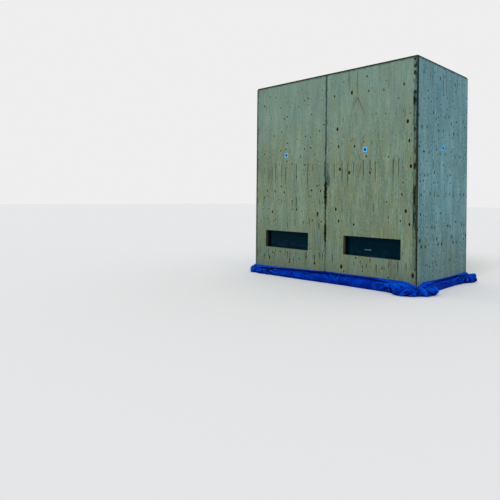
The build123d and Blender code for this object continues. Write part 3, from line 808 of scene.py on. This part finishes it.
# Tarpaulin: one long sheet carried round the foot of the walls, from one side of the doorway to the other
tarpaulin = {
    "step": 0.0082, "rows": 48, "sheetWidth": 0.23, "easeLength": 0.056, "cornerTurn": 0.20, "cornerPinch": 0.34,
    "wallGap": 0.0015, "iceGap": 0.0024, "thickness": 0.0022, "endTuck": 0.06, "doorGap": 0.026,
    "profile": [  # share down the sheet, out as a share of the reach and of the lip, height share, lip's drop
        (0.00, 0.00, 0.00, 1.000, 0.00), (0.10, 0.00, 1.00, 0.900, 0.14), (0.125, 0.00, 0.94, 0.850, 0.32),
        (0.165, 0.03, 0.20, 0.790, 0.56), (0.21, 0.26, 0.00, 0.790, 0.54), (0.29, 0.56, 0.00, 0.765, 0.34),
        (0.40, 0.82, 0.00, 0.695, 0.14), (0.52, 0.96, 0.00, 0.575, 0.0), (0.64, 1.00, 0.00, 0.425, 0.0),
        (0.76, 0.98, 0.00, 0.255, 0.0), (0.87, 0.92, 0.00, 0.110, 0.0), (0.94, 0.86, 0.00, 0.015, 0.0),
        (1.00, 0.76, 0.00, 0.012, 0.0),
    ],
    "crumples": [  # rise, size, shift along the sheet, lean each way, seed
        (0.0090, 0.140, 0, 0.7, -0.3, 11), (0.0045, 0.066, 3, -0.6, 0.4, 23), (0.0022, 0.034, 9, 0, 0, 31),
    ],
    "folds": [  # wall, place and share down the sheet where it starts, the same where it ends, width, rise
        ("front", -1.13, 0.14, -1.14, 0.95, 0.050, 0.026), ("front", -1.05, 0.12, -1.065, 0.97, 0.030, -0.024),
        ("front", -0.89, 0.20, -0.73, 0.95, 0.036, -0.020),
        ("front", 1.19, 0.18, 0.92, 0.52, 0.040, 0.024), ("front", 1.32, 0.04, 1.34, 0.66, 0.040, -0.044),
        ("front", 1.35, 0.06, 1.44, 0.97, 0.026, 0.030), ("front", 1.40, 0.12, 1.50, 0.90, 0.030, -0.030),
        ("right", -0.505, 0.14, -0.485, 0.97, 0.026, 0.028),
        ("right", -0.455, 0.22, -0.47, 0.90, 0.024, -0.026), ("right", -0.25, 0.30, -0.02, 0.55, 0.030, -0.008),
        ("right", 0.60, 0.14, 0.63, 0.92, 0.040, 0.018),
    ],
    "fans": [  # wall, place, share down the sheet, near, far, how many creases all round, rise, seed
        ("front", 1.24, 0.13, 0.04, 0.44, 38, 0.022, 5), ("front", 1.36, 0.04, 0.05, 0.34, 40, 0.022, 12),
        ("right", -0.44, 0.14, 0.04, 0.24, 26, 0.015, 21), ("right", 0.47, 0.10, 0.05, 0.34, 34, 0.017, 34),
        ("front", 0.955, 0.30, 0.04, 0.26, 28, 0.010, 55), ("front", -1.30, 0.08, 0.04, 0.20, 24, 0.010, 47),
        ("back", -1.12, 0.14, 0.05, 0.36, 30, 0.014, 63), ("back", 1.12, 0.14, 0.05, 0.36, 30, 0.014, 71),
        ("left", 0.45, 0.12, 0.05, 0.30, 28, 0.013, 83), ("front", -0.45, 0.10, 0.08, 0.60, 44, 0.0035, 91),
        ("front", 0.30, 0.90, 0.08, 0.62, 48, 0.0035, 97),
    ],
    # stations along each wall: distance from the wall's middle, top height, reach, lip width, crumple
    "front": [
        (-1.2325, 0.088, 0.096, 0.020, 0.8), (-1.17, 0.087, 0.150, 0.036, 0.5), (-1.05, 0.087, 0.182, 0.042, 0.35),
        (-0.93, 0.089, 0.182, 0.034, 0.3), (-0.70, 0.093, 0.163, 0.012, 0.12), (-0.30, 0.106, 0.145, 0.005, 0.08),
        (0.0, 0.118, 0.123, 0.005, 0.08), (0.27, 0.121, 0.100, 0.005, 0.08), (0.70, 0.127, 0.088, 0.008, 0.12),
        (0.86, 0.129, 0.086, 0.026, 0.15), (0.93, 0.129, 0.086, 0.040, 0.35), (0.985, 0.129, 0.104, 0.046, 0.9),
        (1.04, 0.129, 0.164, 0.046, 1.0), (1.13, 0.126, 0.172, 0.040, 1.0), (1.2325, 0.088, 0.118, 0.012, 0.9),
    ],
    "right": [
        (-0.61, 0.088, 0.100, 0.012, 0.9), (-0.545, 0.108, 0.165, 0.024, 1.0), (-0.48, 0.122, 0.130, 0.032, 1.0),
        (-0.38, 0.122, 0.085, 0.024, 0.8), (-0.27, 0.116, 0.056, 0.010, 0.3), (-0.05, 0.111, 0.046, 0.006, 0.14),
        (0.30, 0.109, 0.048, 0.008, 0.2), (0.45, 0.112, 0.070, 0.020, 0.8), (0.54, 0.116, 0.125, 0.028, 1.0),
        (0.61, 0.112, 0.120, 0.020, 1.0),
    ],
    "back": [
        (-1.2325, 0.070, 0.126, 0.014, 0.9), (-1.13, 0.086, 0.118, 0.018, 0.9), (-1.0, 0.112, 0.118, 0.02, 0.7),
        (-0.5, 0.114, 0.108, 0.01, 0.3), (0.1, 0.110, 0.104, 0.01, 0.25), (0.7, 0.112, 0.108, 0.012, 0.35),
        (1.0, 0.116, 0.125, 0.02, 0.7), (1.2325, 0.106, 0.124, 0.024, 1.0),
    ],
    "left": [
        (-0.61, 0.090, 0.082, 0.022, 0.9), (-0.50, 0.104, 0.115, 0.022, 0.8), (-0.36, 0.106, 0.11, 0.02, 0.8),
        (-0.335, 0.104, 0.105, 0.02, 0.9),
    ],
}


def stationsAt(stations, where):
    places, *columns = np.array(stations).T
    return np.stack([np.interp(where, places, column) for column in columns], axis=-1)


# Each column's running mean under a bell
def softened(columns, half, **padding):
    bell = np.hanning(2 * half + 1)
    padded = np.pad(columns, ((half, half), (0, 0)), **padding)
    return np.stack([np.convolve(column, bell / bell.sum(), mode="valid") for column in padded.T], axis=1)


# Walks the foot of the walls: for each step, the point on the wall, the way out, the four station values, eased
# between stations, and the distance walked. A corner is a quarter turn about the wall's corner.
def tarpaulinPath(settings):
    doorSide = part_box("door_leaf")[1][1] + settings["doorGap"]
    stretches = [  # wall, start, end, way out, and the station place at the start and the way it runs
        ("left", (leftFace, -doorSide), (leftFace, frontFace), (-1, 0), -doorSide, -1),
        ("front", (leftFace, frontFace), (rightFace, frontFace), (0, -1), leftFace, 1),
        ("right", (rightFace, frontFace), (rightFace, backFace), (1, 0), frontFace, 1),
        ("back", (rightFace, backFace), (leftFace, backFace), (0, 1), -rightFace, 1),
        ("left", (leftFace, backFace), (leftFace, doorSide), (-1, 0), -backFace, 1),
    ]
    base, way, values, along = [], [], [], []
    travelled = 0.0
    starts = {}
    for (wall, start, end, out, place, run), following in zip(stretches, [*stretches[1:], None]):
        starts.setdefault(wall, travelled - place)
        start, end, out = np.array(start), np.array(end), np.array(out, float)
        length = float(np.linalg.norm(end - start))
        s = np.linspace(0, length, int(length / settings["step"]) + 1)
        base.append(start + (end - start) * (s / length)[:, None])
        way.append(np.tile(out, (len(s), 1)))
        values.append(stationsAt(settings[wall], place + run * s))
        along.append(travelled + s)
        travelled += length
        if following:
            count = int(settings["cornerTurn"] / settings["step"])
            turn = np.linspace(0, 1, count + 2)[1:-1]
            quarter = (turn * math.pi / 2)[:, None]
            base.append(np.tile(end, (count, 1)))
            way.append(np.cos(quarter) * out + np.sin(quarter) * np.array(following[3], float))
            ahead = stationsAt(settings[following[0]], following[4])
            turned = values[-1][-1] * (1 - turn)[:, None] + ahead * turn[:, None]
            turned[:, 1] *= 1 - settings["cornerPinch"] * np.sin(turn * math.pi)
            values.append(turned)
            along.append(travelled + turn * settings["cornerTurn"])
            travelled += settings["cornerTurn"]
    base, way, values, along = (np.concatenate(part) for part in (base, way, values, along))
    values = softened(values, round(settings["easeLength"] / settings["step"]), mode="edge")
    return base, way, values, along, starts


# Mean over a square of cells to each side, edge values repeated
def blurred(values, half):
    for axis in (0, 1):
        pad = [(half, half) if a == axis else (0, 0) for a in (0, 1)]
        total = np.cumsum(np.pad(values, pad, mode="edge"), axis=axis)
        total = np.concatenate([np.zeros_like(np.take(total, [0], axis)), total], axis=axis)
        count = values.shape[axis]
        span = 2 * half + 1
        values = (np.take(total, range(span, span + count), axis) - np.take(total, range(count), axis)) / span
    return values


# Fans: pleats that run straight out from one place. Each is a jagged line over the angle about the place,
# nothing at the place, full from near on, and gone by far.
def fanPleats(settings, starts, s, w):
    crease = np.zeros_like(s)
    for wall, place, share, near, far, creases, rise, seed in settings["fans"]:
        away, down = s - starts[wall] - place, w - share * settings["sheetWidth"]
        distance = np.hypot(away, down)
        draw = np.random.default_rng(seed)
        turns = np.sort(draw.uniform(-math.pi, math.pi, creases))
        heights = draw.uniform(0.35, 1.0, creases) * (-1.0) ** np.arange(creases)
        jagged = np.interp(np.arctan2(down, away), turns, heights, period=2 * math.pi)
        crease += rise * jagged * np.clip(distance / near, 0, 1) * np.clip((far - distance) / (0.4 * far), 0, 1)
    return crease


# Folds: each a tent over a line drawn on the sheet, its rise times one less the distance from the line over the
# width. The second result marks the lines themselves, 1 on a ridge and -1 in a valley.
def drawnFolds(settings, starts, s, w):
    crease, lines = np.zeros_like(s), np.zeros_like(s)
    for wall, fromPlace, fromShare, toPlace, toShare, width, rise in settings["folds"]:
        start = np.array([starts[wall] + fromPlace, fromShare * settings["sheetWidth"]])
        run = np.array([starts[wall] + toPlace, toShare * settings["sheetWidth"]]) - start
        share = np.clip(((s - start[0]) * run[0] + (w - start[1]) * run[1]) / (run @ run), 0, 1)
        gap = np.hypot(s - start[0] - share * run[0], w - start[1] - share * run[1])
        crease += rise * np.clip(1 - gap / width, 0, 1)
        lines += np.sign(rise) * np.clip(1 - gap / (0.5 * width), 0, 1)
    return crease, lines


# Across the sheet the profile lies on the wall, turns over a lip into a crease, swells to its reach and runs
# down to the ice, where its foot tucks under. Crumples, fans and folds move points along its normal, most in the
# middle of the sheet and not at all at its edges.
def tarpaulinSurface(settings):
    base, way, values, along, starts = tarpaulinPath(settings)
    top, reach, lip, crumple = values.T[:, :, None]
    t = np.linspace(0, 1, settings["rows"])
    fine = np.linspace(0, 1, 400)
    dense = softened(stationsAt(settings["profile"], fine), 7, mode="reflect", reflect_type="odd")
    outShare, lipShare, upShare, lipDrop = (np.interp(t, fine, column) for column in dense.T)
    out = outShare * reach + lipShare * lip
    up = upShare * top - lipDrop * lip
    s, w = np.meshgrid(along, t * settings["sheetWidth"], indexing="ij")
    outSlope, upSlope = np.gradient(out, axis=1), np.gradient(up, axis=1)
    size = np.maximum(np.hypot(outSlope, upSlope), 1e-9)
    crease = crumple * sum(
        rise * facetNoise(s + shift + leanAlong * w, w + leanDown * s, grain, seed)
        for rise, grain, shift, leanAlong, leanDown, seed in settings["crumples"]
    )
    crease += fanPleats(settings, starts, s, w)
    crease += 0.0035 * smoothNoise(s, w, 0.26, 43) + 0.0030 * facetNoise(s * 0.3, w + 0.05 * s, 0.06, 57)
    folds, lines = drawnFolds(settings, starts, s, w)
    crease = (crease + folds) * np.clip(np.sin(t * math.pi), 0, 1) ** 0.6
    tuck = np.clip(np.minimum(along, along[-1] - along) / settings["endTuck"], 0, 1)[:, None] ** 0.5
    out = np.maximum(out * tuck - crease * upSlope / size, settings["wallGap"])
    up = np.maximum(up + crease * outSlope / size, settings["iceGap"])
    points = np.empty((*s.shape, 3))
    points[..., :2] = base[:, None] + way[:, None] * out[..., None]
    points[..., 2] = up
    return points, s, w, np.broadcast_to(lip, s.shape), lines


# How far each point stands out of the cloth round it, from 0 in a crease to 1 on a ridge
def standOut(points, spread, depth):
    around = np.stack([blurred(points[..., k], spread) for k in range(3)], axis=-1)
    normal = np.cross(np.gradient(points, axis=0), np.gradient(points, axis=1))
    normal /= np.maximum(np.linalg.norm(normal, axis=2, keepdims=True), 1e-9)
    return np.clip(0.5 - ((points - around) * normal).sum(axis=2) / depth, 0, 1)


def makeTarpaulinMaterial():
    material, tree = newMaterial("blueTarpaulin")
    u, v, _ = splitXyz(source(tree, "ShaderNodeUVMap", 0, uv_map="cut"))
    stand, lip, folded = (
        source(tree, "ShaderNodeAttribute", "Fac", attribute_name=name) for name in ("stand", "lip", "lines")
    )
    upward = normalXyz(tree)[2]
    cloud = noise((u, v), 4.0, 0.6, scale=9.0)
    frost = noise((u, v), 5.0, 0.7, scale=34.0)
    colour = blend(ease(cloud, 0.38, 0.64), linear(1, 34, 140), linear(2, 60, 184))
    colour = blend(ease(frost, 0.68, 0.76, 0.0, 0.2), colour, linear(20, 96, 190))
    # painted shade on faces that turn downwards and painted light on faces that turn upwards
    colour = blend(ease(upward, 0.0, -0.5, 0.0, 0.6), colour, linear(1, 8, 80))
    colour = blend(ease(upward, 0.35, 0.95, 0.0, 0.12), colour, linear(2, 60, 180))
    # painted shade in the creases and painted highlight on the ridges, from how far the cloth stands out
    colour = blend(ease(stand, 0.58, 0.22, 0.0, 0.95), colour, linear(1, 5, 60))
    colour = blend(ease(stand, 0.68, 0.95, 0.0, 0.55), colour, linear(3, 84, 214))
    # painted shade along the fold valleys and painted highlight along the fold ridges
    colour = blend(ease(folded, -0.15, -0.75, 0.0, 0.9), colour, linear(1, 4, 56))
    colour = blend(ease(folded, 0.35, 0.95, 0.0, 0.7), colour, linear(4, 90, 218))

    # painted shadow in the crease under the lip, deeper in some stretches, painted highlight on the lip's turn
    # above it, and painted shade along the top where there is no lip
    fromCrease = v - (noise((u * 7.0, 0.0)) * 0.012 + 0.034)
    lipped = ease(lip, 0.006, 0.024)
    deep = ease(noise((u * 3.0, 4.0)), 0.3, 0.55, 0.6, 0.95) * (lipped * 0.85 + 0.15)
    colour = blend(ease(abs(fromCrease), 0.014, 0.004) * deep, colour, linear(1, 8, 74))
    colour = blend(ease(fromCrease, -0.012, -0.020, 0.0, 0.6) * lipped, colour, linear(2, 72, 200))
    colour = blend(ease(fromCrease, 0.004, -0.014, 0.0, 0.35) * (1.0 - lipped), colour, linear(1, 20, 112))

    threadPitch = 0.0034
    threads = [maths("SINE", part * (2 * math.pi / threadPitch)) for part in (u, v)]
    weave = threads[0] * threads[1] * 0.12
    bump = (weave + noise((u, v), 3.0, scale=55.0), 0.35, 0.002)
    setShader(tree, colour, cloud * 0.2 + 0.5, bump, gloss=0.01, glossTint=(0.02, 0.22, 0.9, 1))
    return material


def addUv(mesh, across, along):
    layer = mesh.uv_layers.new(name="cut")
    corners = np.empty(len(mesh.loops), dtype=np.int32)
    mesh.loops.foreach_get("vertex_index", corners)
    layer.data.foreach_set("uv", np.stack([across.ravel()[corners], along.ravel()[corners]], axis=1).ravel())


points, s, w, lip, lines = tarpaulinSurface(tarpaulin)
points[..., 1] = np.clip(points[..., 1], cadBox[0][1], cadBox[1][1]) + sum(
    way * give * np.tanh(np.clip(way * (points[..., 1] - edge), 0, None) / give)
    for way, edge, give in ((-1, cadBox[0][1], 0.042), (1, cadBox[1][1], 0.008))
)  # how far the cloth may stand proud of the solids' box, front and back
skirt = meshPiece("tarpaulinSkirt", points.reshape(-1, 3), gridFaces(*s.shape), makeTarpaulinMaterial())
addUv(skirt.data, s, w)
stand = 0.6 * standOut(points, 4, 0.011) + 0.4 * standOut(points, 2, 0.004)
for name, values in (("stand", stand), ("lip", lip), ("lines", lines)):
    skirt.data.attributes.new(name, "FLOAT", "POINT").data.foreach_set("value", values.ravel())
patches = np.cross(points[1:, 1:] - points[:-1, :-1], points[1:, :-1] - points[:-1, 1:])
solid = skirt.modifiers.new("thickness", "SOLIDIFY")
solid.thickness = tarpaulin["thickness"]
solid.offset = -1.0
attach(skirt, "root")
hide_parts("skirt_front", "skirt_right", "skirt_back", "skirt_left", "skirt_corners")
print("tarpaulin laid:", len(skirt.data.polygons), "faces")


# Stage, for the picture only
def makeStageMaterial():
    material, tree = newMaterial("paleFloor")
    setShader(tree, (0.80, 0.81, 0.82, 1), 0.9)
    return material


stageSize = 60.0
corners = np.array([(-1, -1, 0), (1, -1, 0), (1, 1, 0), (-1, 1, 0)]) * stageSize
floorPiece = meshPiece("floorPlane", corners, [(0, 1, 2, 3)], makeStageMaterial(), smooth=False)

# Light: a plain pale sky, and one broad soft sun from the left of the window wall
lighting = {"sky": 0.74, "backdrop": 0.86, "sun": 1.05, "sunWidth": 24, "sunTurn": (44, 0, 14)}
world = bpy.data.worlds.new("paleSky")
bpy.context.scene.world = world
world.use_nodes = True
path = addNode(world.node_tree, "ShaderNodeLightPath").outputs
rays = [Value(world.node_tree, path[name]) for name in ("Is Camera Ray", "Is Glossy Ray", "Is Transmission Ray")]
seen = maths("MAXIMUM", rays[0], maths("MAXIMUM", rays[1], rays[2]))
sky, backdrop = ((*[lighting[name]] * 3, 1) for name in ("sky", "backdrop"))
plug(world.node_tree.nodes["Background"].inputs["Color"], blend(seen, sky, backdrop))

sun = bpy.data.objects.new("softSun", bpy.data.lights.new("softSun", "SUN"))
sun.data.energy = lighting["sun"]
sun.data.angle = math.radians(lighting["sunWidth"])
sun.rotation_euler = [math.radians(v) for v in lighting["sunTurn"]]
bpy.context.scene.collection.objects.link(sun)

# Camera: fitted to the corners of the hut in the photograph's 500 by 500 frame, its optical centre off the
# middle of the frame by the shift
view = {
    "frame": 500, "focal": 475.85, "centreAcross": 305.0, "centreDown": 198.0, "roll": 0.537, "pitch": 0.075,
    "yaw": 41.852, "place": (3.6440, -5.0492, 0.9915), "sensor": 36.0,
}


def makeCamera(settings):
    yaw, pitch, roll = (math.radians(settings[k]) for k in ("yaw", "pitch", "roll"))
    forward = Vector((-math.sin(yaw) * math.cos(pitch), math.cos(yaw) * math.cos(pitch), math.sin(pitch)))
    right = Vector((math.cos(yaw), math.sin(yaw), 0.0))
    up = right.cross(forward)
    across = math.cos(roll) * right + math.sin(roll) * up
    upward = -math.sin(roll) * right + math.cos(roll) * up
    camera = bpy.data.objects.new("camera", bpy.data.cameras.new("camera"))
    camera.data.sensor_width = settings["sensor"]
    camera.data.lens = settings["focal"] * settings["sensor"] / settings["frame"]
    camera.data.shift_x = -(settings["centreAcross"] / settings["frame"] - 0.5)
    camera.data.shift_y = settings["centreDown"] / settings["frame"] - 0.5
    turn = Matrix((across, upward, -forward)).transposed().to_4x4()
    camera.matrix_world = Matrix.Translation(settings["place"]) @ turn
    bpy.context.scene.collection.objects.link(camera)
    return camera


bpy.context.scene.camera = makeCamera(view)
bpy.context.scene.view_settings.view_transform = "Standard"

print("scene ready")
